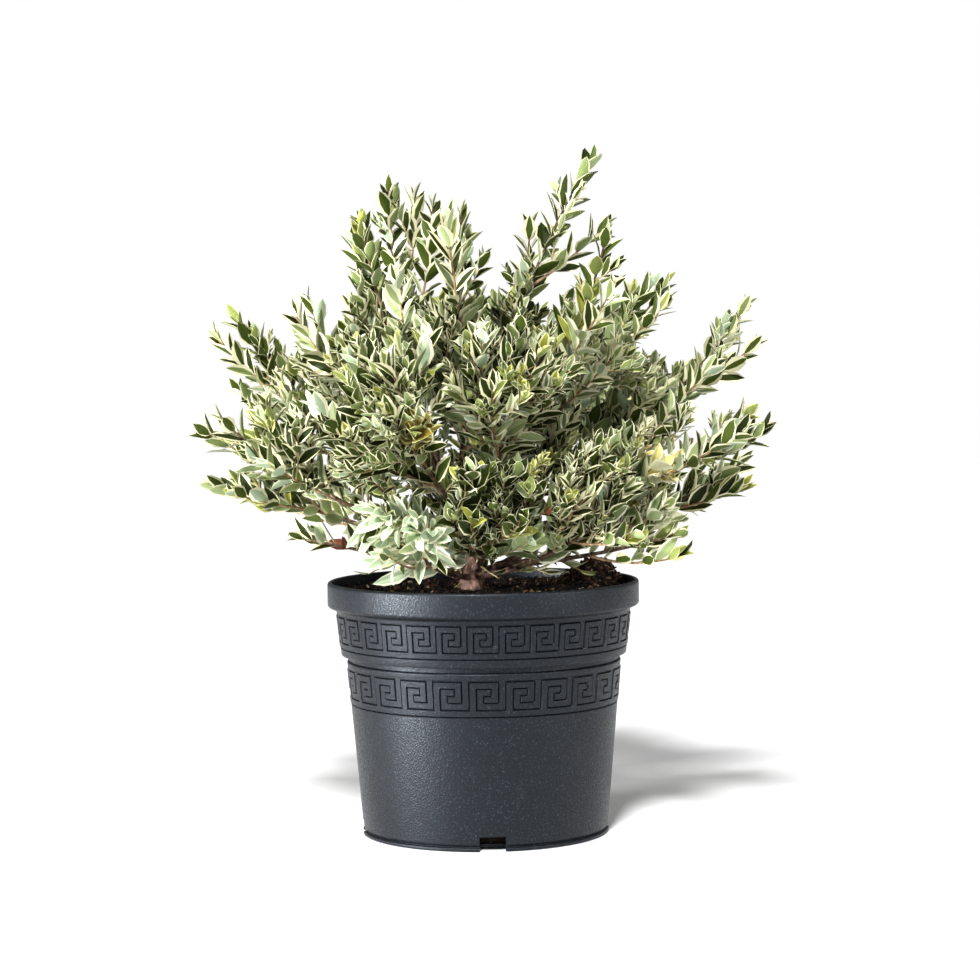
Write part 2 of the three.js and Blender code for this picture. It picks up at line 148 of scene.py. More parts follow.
def repeated(faces, count, points):
    """The faces of `count` copies of a shape that has as many points, one copy after another."""
    starts = points * np.arange(count)[:, None, None]
    return (faces + starts).reshape(-1, faces.shape[1])


def turned(profile, columns):
    """A profile turned about the upright axis. Its first and last places are on the axis and close
    the surface with one point each."""
    angle = np.arange(columns) * 2 * np.pi / columns
    rings = around(profile[1:-1, :1], angle, profile[1:-1, 1:])
    ends = np.array([[0, 0, profile[0, 1]], [0, 0, profile[-1, 1]]])
    return np.concatenate([rings.reshape(-1, 3), ends]), ring_faces(len(rings), columns)


def make_piece(name, places, faces, finishes, face_finish=None, crease=None):
    """A closed mesh from places in millimetres and arrays of faces. face_finish is the number of each
    face's finish, and crease the angle in degrees past which an edge between faces stays sharp."""
    mesh = bpy.data.meshes.new(name)
    corners = np.concatenate([kind.ravel() for kind in faces])
    sizes = np.concatenate([np.full(len(kind), kind.shape[1]) for kind in faces])
    mesh.vertices.add(len(places))
    mesh.vertices.foreach_set("co", (places * 0.001).astype(np.float32).ravel())
    mesh.loops.add(len(corners))
    mesh.loops.foreach_set("vertex_index", corners.astype(np.int32))
    mesh.polygons.add(len(sizes))
    mesh.polygons.foreach_set("loop_start", (np.cumsum(sizes) - sizes).astype(np.int32))
    mesh.polygons.foreach_set("use_smooth", np.ones(len(sizes), bool))
    if face_finish is not None:
        mesh.polygons.foreach_set("material_index", face_finish.astype(np.int32))
    mesh.update(calc_edges=True)
    if crease is not None:
        mesh.set_sharp_from_angle(angle=np.radians(crease))
    for finish in finishes:
        mesh.materials.append(finish)
    piece = bpy.data.objects.new(name, mesh)
    bpy.context.scene.collection.objects.link(piece)
    return piece


def cut_away(piece, cutter):
    """piece without the space of cutter, as a plain mesh with the same finishes."""
    cut = piece.modifiers.new("cut", "BOOLEAN")
    cut.operation = "DIFFERENCE"
    cut.solver = "EXACT"
    cut.object = cutter
    shown = piece.evaluated_get(bpy.context.evaluated_depsgraph_get())
    mesh = bpy.data.meshes.new_from_object(shown)
    piece.modifiers.remove(cut)
    piece.data = mesh
    bpy.data.objects.remove(cutter)


def linear(code):
    """A colour as it is mixed by eye, such as "6d8450", as the linear colour a shader takes."""
    shown = np.array([int(code[i : i + 2], 16) for i in (0, 2, 4)]) / 255
    bright = ((shown + 0.055) / 1.055) ** 2.4
    return (*np.where(shown > 0.04045, bright, shown / 12.92), 1.0)


def feed(finish, node, inputs):
    """Links each input of a node that is given a socket to it, and sets any other."""
    for key, value in inputs.items():
        if isinstance(value, bpy.types.NodeSocket):
            finish.node_tree.links.new(value, node.inputs[key])
        else:
            node.inputs[key].default_value = value


def finish_of(name, color, roughness, specular):
    """A named finish with a plain colour, and its shader."""
    finish = bpy.data.materials.new(name)
    finish.use_nodes = True
    shader = finish.node_tree.nodes["Principled BSDF"]
    values = {"Base Color": linear(color), "Roughness": roughness, "Specular IOR Level": specular}
    feed(finish, shader, values)
    return finish, shader


def add_node(finish, kind, **inputs):
    """A node of a finish or a world, with its inputs fed."""
    node = finish.node_tree.nodes.new(kind)
    feed(finish, node, {key.replace("_", " "): value for key, value in inputs.items()})
    return node


def speckle(finish, scale, detail, stretch=(1, 1, 1)):
    """Cloudy noise over the piece's own coordinates: `scale` patches in a metre, which are longer
    along an axis where `stretch` is less than 1."""
    place = add_node(finish, "ShaderNodeTexCoord").outputs["Object"]
    laid = add_node(finish, "ShaderNodeMapping", Vector=place, Scale=stretch).outputs["Vector"]
    return add_node(finish, "ShaderNodeTexNoise", Vector=laid, Scale=scale, Detail=detail).outputs["Fac"]


def ramp(finish, amount, stops):
    """A colour for each amount: stops are (amount, colour) pairs, and it changes evenly between."""
    node = add_node(finish, "ShaderNodeValToRGB", Fac=amount)
    elements = node.color_ramp.elements
    while len(elements) < len(stops):
        elements.new(0.5)
    for element, (position, color) in zip(elements, stops):
        element.position = position
        element.color = linear(color)
    return node.outputs["Color"]


def blend_of(finish, amount, first, second):
    """Two colours mixed by an amount from 0, the first, to 1, the second."""
    node = add_node(finish, "ShaderNodeMix")
    node.data_type = "RGBA"
    # Its colour sockets share their names with others, so they are given by number.
    feed(finish, node, {0: amount, 6: first, 7: second})
    return node.outputs[2]


def dress(finish, shader, look, height, distance):
    """Gives a shader its colour, and fine relief as high as `distance` in metres where height is 1."""
    bump = add_node(finish, "ShaderNodeBump", Height=height, Distance=distance, Strength=1.0)
    feed(finish, shader, {"Base Color": look, "Normal": bump.outputs["Normal"]})


# The grain is a sandy mottle of a millimetre, glossy on its high spots. Bloom is a faint cloudy dust,
# and scuffs are upright worn streaks.
pot_plastic, shader = finish_of("black_pot_plastic", "2b2f34", 0.5, 0.34)
grain = speckle(pot_plastic, 880, 3)
bloom = speckle(pot_plastic, 14, 4, (1, 1, 0.6))
scuffs = speckle(pot_plastic, 60, 5, (2.2, 2.2, 0.5))
sand = ramp(pot_plastic, grain, [(0.4, "010101"), (0.5, "050608"), (0.6, "13181d"), (0.74, "3f4853")])
dusty = ramp(pot_plastic, bloom, [(0.3, "050608"), (0.7, "0d1014")])
worn = ramp(pot_plastic, scuffs, [(0.62, "000000"), (0.76, "3a3a3a")])
speckled = blend_of(pot_plastic, 0.35, sand, dusty)
worn_look = blend_of(pot_plastic, worn, speckled, linear("626a74"))
dullness = add_node(
    pot_plastic, "ShaderNodeMapRange", Value=grain, From_Min=0.36, From_Max=0.66, To_Min=0.54, To_Max=0.28
)
feed(pot_plastic, shader, {"Roughness": dullness.outputs["Result"], "Specular Tint": (0.8, 0.88, 1, 1)})
dress(pot_plastic, shader, worn_look, grain, 0.0003)

# The wall from the middle of the base, up the outside, over the rim and down the inside to the floor,
# as rows of radius, height and how far the corner is rounded.
WALL_ROWS = [
    (0, 0, 0),
    (BASE_RADIUS, 0, 0.6),
    (BASE_RADIUS, 2.2, 0.6),
    (BODY_FOOT_RADIUS - 1.4, 2.8, 0.5),
    (BODY_FOOT_RADIUS, BODY_FOOT_Z, 0.6),
    *channel(body_wall, LOWER_BORDER_Z),
    (BODY_TOP_RADIUS, BODY_TOP_Z - 0.6, 0.9),
    (BODY_TOP_RADIUS - 1.6, BODY_TOP_Z + 0.2, 0.3),
    (BODY_TOP_RADIUS - 1.5, BODY_TOP_Z + 3.9, 0.3),
    (BAND_FOOT_RADIUS, BODY_TOP_Z + 4.0, 0.8),
    *channel(band_wall, UPPER_BORDER_Z),
    (BAND_TOP_RADIUS, COLLAR_FOOT - 2.4, 0.9),
    (RIM_RADIUS, COLLAR_FOOT, 1.6),
    (RIM_RADIUS, POT_HEIGHT, 2.2),
    (RIM_RADIUS - POT_WALL - 0.6, POT_HEIGHT, 1.3),
    (RIM_RADIUS - POT_WALL - 0.6, COLLAR_FOOT + 2, 1.2),
    (BAND_TOP_RADIUS - POT_WALL, COLLAR_FOOT - 5, 1.2),
    (BODY_TOP_RADIUS - POT_WALL, BODY_TOP_Z, 1.2),
    (BODY_FOOT_RADIUS - POT_WALL, POT_FLOOR, 1.2),
    (0, POT_FLOOR, 0),
]
pot = make_piece("pot_wall", *turned(rounded(WALL_ROWS), POT_COLUMNS), [pot_plastic])
box_corner = np.array([(x, y, z) for z in (-1, 1) for y in (-1, 1) for x in (-1, 1)]) / 2
BOX_FACES = np.array([(0, 2, 3, 1), (4, 5, 7, 6), (0, 1, 5, 4), (2, 6, 7, 3), (0, 4, 6, 2), (1, 3, 7, 5)])
x, y, z = (box_corner * NOTCH_SIZE - (0, BASE_RADIUS, 0)).T
turn = np.radians(NOTCH_TURN + 90 * np.arange(4))[:, None]
notch_x = x * np.cos(turn) - y * np.sin(turn)
notch_y = x * np.sin(turn) + y * np.cos(turn)
notches = np.stack(np.broadcast_arrays(notch_x, notch_y, z), axis=-1)
cut_away(pot, make_piece("notches", notches.reshape(-1, 3), [repeated(BOX_FACES, 4, 8)], []))
pot.data.set_sharp_from_angle(angle=np.radians(32))
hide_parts("pot")
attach(pot, "root")

# The Greek key borders
# Two bands of a traditional key meander, moulded in low relief with the pot: 30 keys round the wide
# band and 24 larger ones round the top of the body. A narrow groove runs along both edges of the
# raised ribbon.
KEY = ("XXXX.", "X..X.", "X.XX.", "X....", "XXXXX")
RIBBON_RAISE = 0.5
GROOVE_DEPTH = 0.8
GROOVE_HALF = 0.6
BORDER_LIP = 0.85


def key_band(count, low, high, wall_at, phase):
    """A closed sleeve that fills the channel in the pot's wall. Its outer face is a grid with three
    lines for each cell of the key: on the cell's boundary and GROOVE_HALF inside it on either side. A
    boundary between ribbon and ground is a groove."""
    cells = np.array([[mark == "X" for mark in row] for row in KEY[::-1]])
    cells = np.pad(np.tile(cells, (1, count)), ((1, 1), (0, 0)))
    rows, columns = cells.shape
    fine_row = np.arange(1, 3 * rows)
    fine_column = np.arange(3 * columns)
    row_after = fine_row // 3
    row_before = row_after - (fine_row % 3 == 0)
    column_after = fine_column // 3
    column_before = (column_after - (fine_column % 3 == 0)) % columns
    touching = np.stack(
        [cells[np.ix_(r, c)] for r in (row_before, row_after) for c in (column_before, column_after)]
    )
    raised = touching.all(0)
    level = touching.any(0) == raised
    heights = np.where(level, raised * RIBBON_RAISE, -GROOVE_DEPTH)
    cell_high = (high - low) / len(KEY)
    inset = np.array([0, GROOVE_HALF, cell_high - GROOVE_HALF])
    z = (low + cell_high * np.arange(-1, rows - 1)[:, None] + inset).ravel()[1:]
    z[0] = low - BORDER_LIP
    z[-1] = high + BORDER_LIP
    turn = 2 * np.pi / columns
    edge = GROOVE_HALF / wall_at(high)
    angle = (np.arange(columns)[:, None] * turn + (0, edge, turn - edge)).ravel() + phase
    radius = wall_at(z)[:, None] + heights
    back = wall_at(z[[-1, 0]])[:, None] - CHANNEL + 0 * radius[:2]
    radius = np.concatenate([radius, back])
    z = np.concatenate([z, z[[-1, 0]]])[:, None]
    here = np.arange(radius.size).reshape(radius.shape)
    there = np.roll(here, -1, axis=1)
    up = np.roll(here, -1, axis=0)
    up_there = np.roll(there, -1, axis=0)
    quads = np.stack([here, there, up_there, up], axis=-1).reshape(-1, 4)
    return around(radius, angle, z).reshape(-1, 3), [quads]


for name, count, (low, high), wall_at, phase in (
    ("upper_key_border", 30, UPPER_BORDER_Z, band_wall, -0.2),
    ("lower_key_border", 24, LOWER_BORDER_Z, body_wall, 8.8),
):
    shape = key_band(count, low, high, wall_at, np.radians(phase))
    border = make_piece(name, *shape, [pot_plastic], crease=25)
    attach(border, "root")

# The potting mix
# Peat and composted bark that fill the pot to just below its rim, nearly black while moist, with
# loose chips and specks on top. A clod of old fibrous mix is heaped against the rim at the back.
MIX_TOP = 172.5
MIX_EDGE = 106.7
MIX_DROP = 2.5
MIX_FLAT = 14
CLOD_PLACE = (80, 36)
CLOD_HALF = (32, 22)
CLOD_HEIGHT = 18
LUMP_HEIGHT = 1.5
CHIP_COUNT = 1500
CLOD_CHIP_COUNT = 900
CHIP_REACH = 103
CHIP_GAP = 15
TRUNK_FOOT = np.array([-7, -10, MIX_TOP + 0.3])


def ripples(places, longest, seed, count=40):
    """Smooth random relief from about -1 to 1: a sum of sine waves of random direction and phase,
    whose lengths run from `longest` to an eighth of it and whose heights fall with their length."""
    random = np.random.default_rng(seed)
    ways = unit(random.normal(size=(count, places.shape[-1])))
    lengths = longest * 0.125 ** np.linspace(0, 1, count)
    phases = random.uniform(0, 2 * np.pi, count)
    weights = (lengths / longest) ** 0.6
    waves = np.sin(places @ (ways * 2 * np.pi / lengths[:, None]).T + phases)
    return waves @ weights / np.sqrt((weights**2).sum() / 2) / 2


def clod_height(x, y):
    """How high the clod stands above the mix: a flattened bump with an oval foot."""
    away = np.hypot((x - CLOD_PLACE[0]) / CLOD_HALF[0], (y - CLOD_PLACE[1]) / CLOD_HALF[1])
    return CLOD_HEIGHT * np.clip(1 - away**2, 0, 1) ** 2


def mix_level(x, y):
    """The height of the mix: it falls to its edge, rises over the clod, and is uneven except where
    the trunk stands."""
    out = np.hypot(x, y)
    fall = MIX_DROP * np.clip((out - 30) / (MIX_EDGE - 30), 0, 1)
    by_trunk = np.clip((np.hypot(x - TRUNK_FOOT[0], y - TRUNK_FOOT[1]) - MIX_FLAT) / 12, 0, 1)
    by_wall = np.clip((MIX_EDGE - out) / 6, 0.25, 1)
    lumps = LUMP_HEIGHT * ripples(np.stack([x, y], axis=-1), 34, 5)
    heap = clod_height(x, y)
    broken = 0.12 * heap * ripples(np.stack([x, y], axis=-1), 12, 9)
    return MIX_TOP - fall + heap + (lumps * by_wall + broken) * by_trunk


# The mix lies a little inside the pot's wall and floor, and its top is even rings as far as its edge.
mix_sides = [(0, 3.3), (72, 3.3), (75, 16), (85.4, 24), (94.1, 122.8), (101.3, 156.3), (MIX_EDGE, 163.3)]
mix_top = np.full((44, 2), MIX_TOP)
mix_top[:, 0] = MIX_EDGE * (1 - np.linspace(0, 1, 44)) ** 0.9
mix_places, mix_faces = turned(np.concatenate([mix_sides, mix_top]), 180)
on_top = mix_places[:, 2] > MIX_TOP - 1
mix_places[on_top, 2] = mix_level(*mix_places[on_top, :2].T)

potting_mix, shader = finish_of("moist_potting_mix", "17110d", 0.95, 0.25)
crumbs = speckle(potting_mix, 260, 6)
patches = speckle(potting_mix, 45, 3)
crumb_look = ramp(
    potting_mix, crumbs, [(0.35, "050403"), (0.52, "120d0a"), (0.64, "2a1f17"), (0.76, "6a5239")]
)
patch_look = ramp(potting_mix, patches, [(0.4, "080605"), (0.65, "221912")])
mixed = blend_of(potting_mix, 0.4, crumb_look, patch_look)
dress(potting_mix, shader, mixed, crumbs, 0.002)
mix = make_piece("potting_mix_body", mix_places, mix_faces, [potting_mix], crease=50)
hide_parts("potting_mix")
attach(mix, "root")

# Chips are boxes with loose corners, spread evenly over the mix and more thickly over the clod.
random = np.random.default_rng(71)
radius = CHIP_REACH * np.sqrt(random.uniform(0, 1, CHIP_COUNT))
angle = random.uniform(0, 2 * np.pi, CHIP_COUNT)
spread = np.sqrt(random.uniform(0, 0.92, CLOD_CHIP_COUNT))
turn = random.uniform(0, 2 * np.pi, CLOD_CHIP_COUNT)
chip_x = np.concatenate([radius * np.cos(angle), CLOD_PLACE[0] + CLOD_HALF[0] * spread * np.cos(turn)])
chip_y = np.concatenate([radius * np.sin(angle), CLOD_PLACE[1] + CLOD_HALF[1] * spread * np.sin(turn)])
clear = np.hypot(chip_x, chip_y) < CHIP_REACH + 0.5
clear &= np.hypot(chip_x - TRUNK_FOOT[0], chip_y - TRUNK_FOOT[1]) > CHIP_GAP
chip_x = chip_x[clear]
chip_y = chip_y[clear]
chips = len(chip_x)
chip_size = random.uniform(0.8, 2.2, (chips, 1)) * random.uniform(0.5, 1.5, (chips, 3))
chip_size[:, 0] *= random.choice([1, 1.3, 2.4], chips)
corners = box_corner * random.uniform(0.65, 1.2, (chips, 8, 3)) * chip_size[:, None]
chip_axes = np.linalg.qr(random.normal(size=(chips, 3, 3)))[0]
chip_axes *= np.linalg.det(chip_axes)[:, None, None]
chip_middle = np.stack([chip_x, chip_y, mix_level(chip_x, chip_y) + 0.2], axis=-1)
chip_places = corners @ chip_axes + chip_middle[:, None]
CHIP_COLORS = {
    "black": "0c0907",
    "brown": "261a13",
    "red_brown": "452719",
    "tan": "6f573c",
    "pale": "ab9b7d",
    "moss": "393a1e",
}
chip_finishes = [
    finish_of(f"mix_chips_{name}", color, 0.9, 0.3)[0] for name, color in CHIP_COLORS.items()
]
on_clod = clod_height(chip_x, chip_y) > 1
open_pick = random.choice(6, chips, p=[0.42, 0.3, 0.14, 0.09, 0.04, 0.01])
clod_pick = random.choice(6, chips, p=[0.26, 0.38, 0.2, 0.08, 0.03, 0.05])
chip_finish = np.repeat(np.where(on_clod, clod_pick, open_pick), 6)
chip_shape = (chip_places.reshape(-1, 3), [repeated(BOX_FACES, chips, 8)])
loose = make_piece("potting_mix_chips", *chip_shape, chip_finishes, chip_finish, 20)
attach(loose, "root")

# The trunk and its boughs
# A short knobbly trunk with a root flare, forking into thin tapering boughs. The old bark is dull
# brown, flaking and mottled with pinkish tan. Each bough is bare up to where its own foliage starts.
TRUNK_TOP = np.array([-4, -8, MIX_TOP + 36])
FLARE_RADIUS = 11
TRUNK_RADIUS = 6.4
TRUNK_RINGS = 40
TRUNK_SIDES = 48
KNOB_RELIEF = 0.13
FLAKE_RELIEF = 0.05
ROOT_RELIEF = 0.16
TIP_LEAF_REACH = 30
FORK_FOOT = 30
FORK_REACH = 3.4
BOUGH_RADII = (2.6, 1.9)
BOUGH_RINGS = 26
BOUGH_SIDES = 10
BOUGH_RELIEF = 0.14
# A bough's turn is its direction in degrees, and out and up are how far its mass of foliage reaches
# from the trunk's foot. foot is how high on the trunk it starts, or the bough it leaves and the share
# of that one where it does. bare is the share without foliage, and sag is a share of its length.
Bough = namedtuple("Bough", "name turn out up foot bare sag", defaults=(0.09,))
BOUGH_ROWS = [
    ("low_left", 183, 187, 80, 10, 0.46, -0.06),
    ("low_fore_left", 240, 112, 42, 8, 0.3),
    ("low_fore", 278, 130, 62, 14, 0.32),
    ("low_fore_right", 318, 142, 60, 8, 0.34),
    ("low_right", 356, 196, 84, 12, 0.4),
    ("low_back_right", 38, 180, 88, 10, 0.42),
    ("low_back", 86, 172, 80, 10, 0.34),
    ("low_back_left", 135, 176, 78, 12, 0.34),
    ("mid_left", 172, 176, 192, 22, 0.3),
    ("mid_fore", 285, 136, 190, 22, 0.3),
    ("mid_right", 5, 205, 198, 24, 0.26),
    ("mid_back_right", 52, 168, 192, 24, 0.3),
    ("mid_back_left", 126, 165, 188, 22, 0.3),
    ("inner_fore", 318, 66, 128, 26, 0.24),
    ("top_left", 186, 80, 264, 33, 0.26, 0.06),
    ("top_fore", 262, 46, 268, 33, 0.26),
    ("top_tall", 22, 91, 311, 33, 0.26, -0.12),
    ("low_left_fore", 206, 138, 44, 6, 0.5, -0.02),
    ("low_right_fore", 336, 160, 40, ("low_right", 0.14), 0.4, 0.03),
    ("mid_left_fore", 206, 194, 120, ("mid_left", 0.12), 0.3),
    ("mid_fore_left", 243, 150, 160, ("mid_fore", 0.14), 0.3),
    ("mid_right_fore", 342, 206, 120, ("mid_right", 0.12), 0.3),
    ("mid_back", 88, 160, 206, ("mid_back_left", 0.16), 0.26),
    ("top_left_back", 140, 82, 290, ("top_left", 0.14), 0.22),
    ("top_left_fore", 214, 100, 218, ("top_left", 0.1), 0.24),
    ("top_right", 342, 108, 250, ("top_tall", 0.14), 0.22),
    ("top_back_right", 62, 102, 262, ("top_tall", 0.1), 0.24),
    ("upper_right", 352, 132, 214, ("top_right", 0.08), 0.28, 0.06),
]
BOUGHS = [Bough(*row) for row in BOUGH_ROWS]
BOUGH_NAMES = [bough.name for bough in BOUGHS]


def along_curve(curves, share):
    """The direction of each curve at a share along it: the parabola's slope, made one long."""
    t = np.asarray(share, float)[..., None]
    first, middle, last = (curves[..., i, :] for i in range(3))
    return unit((1 - t) * (middle - first) + t * (last - middle))


def frame_on(along, hint):
    """Two directions square to `along`: one as near to `hint` as it can be, and one square to both."""
    side = unit(hint - (hint * along).sum(-1, keepdims=True) * along)
    return side, np.cross(side, along)


def curve_length(curves):
    """The length of each curve, from 24 straight steps."""
    places = on_curve(curves[:, None], np.linspace(0, 1, 25))
    return np.linalg.norm(np.diff(places, axis=1), axis=-1).sum(-1)


def tubes(curves, hints, first, last, radii, sides, relief=None):
    """Closed tapering tubes along curves from share `first` to `last`. radii has a radius for each
    ring of each tube, relief multiplies it for each corner, and a point closes each end."""
    count, rings = radii.shape
    share = first[:, None] + (last - first)[:, None] * np.linspace(0, 1, rings)
    middle = on_curve(curves[:, None], share)
    along = along_curve(curves[:, None], share)
    side, over = frame_on(along, np.broadcast_to(hints[:, None], along.shape))
    angle = np.arange(sides) * 2 * np.pi / sides
    outward = side[:, :, None] * np.cos(angle)[:, None] + over[:, :, None] * np.sin(angle)[:, None]
    reach = radii[:, :, None, None] * (1 if relief is None else relief[..., None])
    places = (middle[:, :, None] + outward * reach).reshape(count, -1, 3)
    places = np.concatenate([places, middle[:, [0, -1]]], axis=1)
    quads, ends = ring_faces(rings, sides)
    faces = [quads[:, [0, 3, 2, 1]], ends[:, [0, 2, 1]]]
    return places.reshape(-1, 3), [repeated(kind, count, places.shape[1]) for kind in faces]


trunk_middle = np.array([TRUNK_FOOT[0], TRUNK_FOOT[1], (TRUNK_FOOT[2] + TRUNK_TOP[2]) / 2])
trunk_curve = np.stack([TRUNK_FOOT, trunk_middle, TRUNK_TOP])
limb_curves = []
limb_hints = []
for bough in BOUGHS:
    turn = np.radians(bough.turn)
    outward = np.array([np.cos(turn), np.sin(turn), 0])
    tip = TRUNK_FOOT + outward * bough.out
    tip[2] = MIX_TOP + bough.up
    if isinstance(bough.foot, tuple):
        parent = BOUGH_NAMES.index(bough.foot[0])
        start = on_curve(limb_curves[parent], bough.foot[1])
    else:
        start = on_curve(trunk_curve, bough.foot / (TRUNK_TOP[2] - TRUNK_FOOT[2]))
        start = start + outward * (FORK_REACH if bough.foot > FORK_FOOT else 0)
    chord = tip - start
    tip = tip - unit(chord) * TIP_LEAF_REACH
    side = np.array([-outward[1], outward[0], 0])
    below = unit(np.cross(chord, side))
    below = below * (-1 if below[2] > 0 else 1)
    middle = (start + tip) / 2 + below * bough.sag * np.linalg.norm(chord)
    limb_curves.append(np.stack([start, middle, tip]))
    limb_hints.append(side)
limb_curves = np.array(limb_curves)
limb_hints = np.array(limb_hints)
limb_bare = np.array([bough.bare for bough in BOUGHS])
limb_length = curve_length(limb_curves)


def skin_of(rings, sides, radius, length, start=0):
    """Where relief is read from for each corner of a limb: a round rod, which lies apart from others
    when they start elsewhere. Also the angles round it and the shares along it."""
    angle = np.arange(sides) * 2 * np.pi / sides
    share = np.linspace(0, 1, rings)[:, None]
    return start + around(radius, angle, length * share), angle, share


# The flare dies away with the cube of what is left of the trunk, and five roots swell round its foot.
skin, angle, share = skin_of(TRUNK_RINGS, TRUNK_SIDES, 9, 36)
trunk_radii = TRUNK_RADIUS + (FLARE_RADIUS - TRUNK_RADIUS) * (1 - share[:, 0]) ** 3
trunk_radii = trunk_radii * np.where(share[:, 0] > 0.96, 0.8, 1)
knobs = 1 + KNOB_RELIEF * ripples(skin, 22, 21) + FLAKE_RELIEF * ripples(skin * (1, 1, 0.3), 5, 22)
roots = 1 + ROOT_RELIEF * np.cos(5 * angle + 0.8) * (1 - share) ** 4
relief = (knobs * roots)[None] * 0.96
trunk_hint = np.array([[1.0, 0, 0]])
trunk_shape = tubes(
    trunk_curve[None], trunk_hint, np.zeros(1), np.ones(1), trunk_radii[None], TRUNK_SIDES, relief
)

bark, shader = finish_of("old_myrtle_bark", "5a4433", 0.9, 0.3)
streaks = speckle(bark, 300, 5, (1, 1, 0.35))
flakes = speckle(bark, 120, 3)
streak_look = ramp(bark, streaks, [(0.32, "1d1410"), (0.5, "4b382e"), (0.62, "866657"), (0.75, "c09c8c")])
flake_look = ramp(bark, flakes, [(0.42, "2c1f1a"), (0.54, "8d6c60"), (0.66, "d0ada0")])
bark_look = blend_of(bark, 0.45, streak_look, flake_look)
dress(bark, shader, bark_look, streaks, 0.0012)

trunk = make_piece("trunk_bark", *trunk_shape, [bark], crease=60)
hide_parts("trunk")
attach(trunk, "root")

# A bough tapers evenly, swells where it leaves its parent, and runs a little way into its foliage.
starts = 40.0 * np.arange(len(BOUGHS))[:, None, None, None]
skin, angle, share = skin_of(BOUGH_RINGS, BOUGH_SIDES, 3, 70, starts)
bough_radii = BOUGH_RADII[0] + (BOUGH_RADII[1] - BOUGH_RADII[0]) * share[:, 0]
bough_radii = np.tile(bough_radii * (1 + 0.45 * np.exp(-share[:, 0] * 14)), (len(BOUGHS), 1))
bough_shape = tubes(
    limb_curves,
    limb_hints,
    np.zeros(len(BOUGHS)),
    limb_bare + 1.5 / limb_length,
    bough_radii,
    BOUGH_SIDES,
    1 + BOUGH_RELIEF * ripples(skin, 16, 31),
)
boughs = make_piece("boughs_bark", *bough_shape, [bark], crease=60)
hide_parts(*[f"bough_{bough.name}" for bough in BOUGHS])
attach(boughs, "root")

# The stems, shoots and twigs
# Each stem grows on from its bough's tip and bears shoots at the golden angle, and stems and shoots
# bear short twigs. Stems are brown, shoots tan, and the newest twigs thin and pale. A shoot keeps
# nearer to its own stem than to any other, and stops at the dome of the crown.
GOLDEN_ANGLE = np.radians(137.5)
OUTER_SHOOTS = 3
INNER_SHOOTS = 4
TWIGS_PER_STEM = 9
TWIGS_PER_BOUGH = 5
TWIGS_PER_SHOOT = 7
GROWTH_STEPS = 14
BEND = 0.1
SHOOT_SPARE = 1.5
CLEARANCE = 0.6
LEADER_LENGTH = 21
LEADER_ROOM = 32
TWIG_ROOM = 15
DOME_MIDDLE = 118
CROWN_DOME = (188, 175, 154)
INNER_DOME = (158, 88, 120)
CROWN_BOX = 1000 * np.array(cad_box)
DOME_POWER = 1.5
# Shoots and twigs that the shrub has lost, by bough and number. A stem's shoots are numbered from 0,
# its twigs from 16, and those on the bare part of its bough from 120. A shoot's own aren't pruned.
PRUNED = {
    "low_left_fore": (1, 2, 3, 4, 5, 6, 16, 17, 19, 20, 21, 22, 23, 24),
    "low_left": (17, 19, 21, 122),
    "low_back_left": (16, 21, 24),
    "low_right_fore": (17, 19, 23),
    "low_right": (23, 121, 122),
    "mid_left_fore": (2, 16, 21),
    "top_left": (0,),
    "top_left_back": (1,),
    "top_left_fore": (2,),
    "top_tall": (0, 18, 20),
    "top_right": (2,),
    "top_back_right": (2, 22),
}
Shoots = namedtuple("Shoots", "limb number curve hint length first")


def chance(limb, shoot, use):
    """A number from 0 to 1 that depends only on three counters: an integer hash of 32 bits."""
    low = np.uint64(0xFFFFFFFF)
    h = (np.asarray(limb) * 65536 + np.asarray(shoot) * 256 + use + 1).astype(np.uint64) & low
    h = ((h ^ (h >> np.uint64(16))) * np.uint64(0x7FEB352D)) & low
    h = ((h ^ (h >> np.uint64(15))) * np.uint64(0x846CA68B)) & low
    return (h ^ (h >> np.uint64(16))).astype(float) / 2**32


def even_place(number):
    """1/2, 1/4, 3/4, 1/8 and so on: the bits of each number plus one, read as a fraction backwards."""
    bits = (np.asarray(number) + 1)[..., None] >> np.arange(8) & 1
    return (bits * 0.5 ** np.arange(1, 9)).sum(-1)


def distance_to(chain, places):
    """The shortest distance from each place to a chain of points."""
    step = np.diff(chain, axis=0)
    away = places[:, None] - chain[None, :-1]
    share = np.clip((away * step).sum(-1) / (step**2).sum(-1), 0, 1)
    return np.linalg.norm(away - share[..., None] * step, axis=-1).min(1)


def in_dome(places, dome):
    """Whether each place is inside an egg round the trunk. dome is its radius and its reach above and
    below its widest place."""
    out = np.hypot(places[:, 0] - TRUNK_FOOT[0], places[:, 1] - TRUNK_FOOT[1]) / dome[0]
    up = places[:, 2] - MIX_TOP - DOME_MIDDLE
    high = np.abs(up) / np.where(up > 0, dome[1], dome[2])
    return out**DOME_POWER + high**DOME_POWER < 1


stem_steps = np.linspace(0, 1, 11)
stem_chains = on_curve(limb_curves[:, None], limb_bare[:, None] + (1 - limb_bare)[:, None] * stem_steps)
whole_chains = on_curve(limb_curves[:, None], 0.06 + 0.94 * stem_steps)
limb_chains = on_curve(limb_curves[:, None], limb_bare[:, None] * np.linspace(0, 1, 7))
trunk_chain = on_curve(trunk_curve, np.linspace(0, 1, 5))


def off_limbs(places, spare):
    """Whether each place is above the pot and clear of the trunk and of every bough."""
    clear = places[:, 2] > POT_HEIGHT + 4 + clod_height(places[:, 0], places[:, 1])
    clear &= distance_to(trunk_chain, places) > FLARE_RADIUS + spare + CLEARANCE
    for chain in limb_chains:
        clear &= distance_to(chain, places) > BOUGH_RADII[0] + spare + CLEARANCE
    return clear


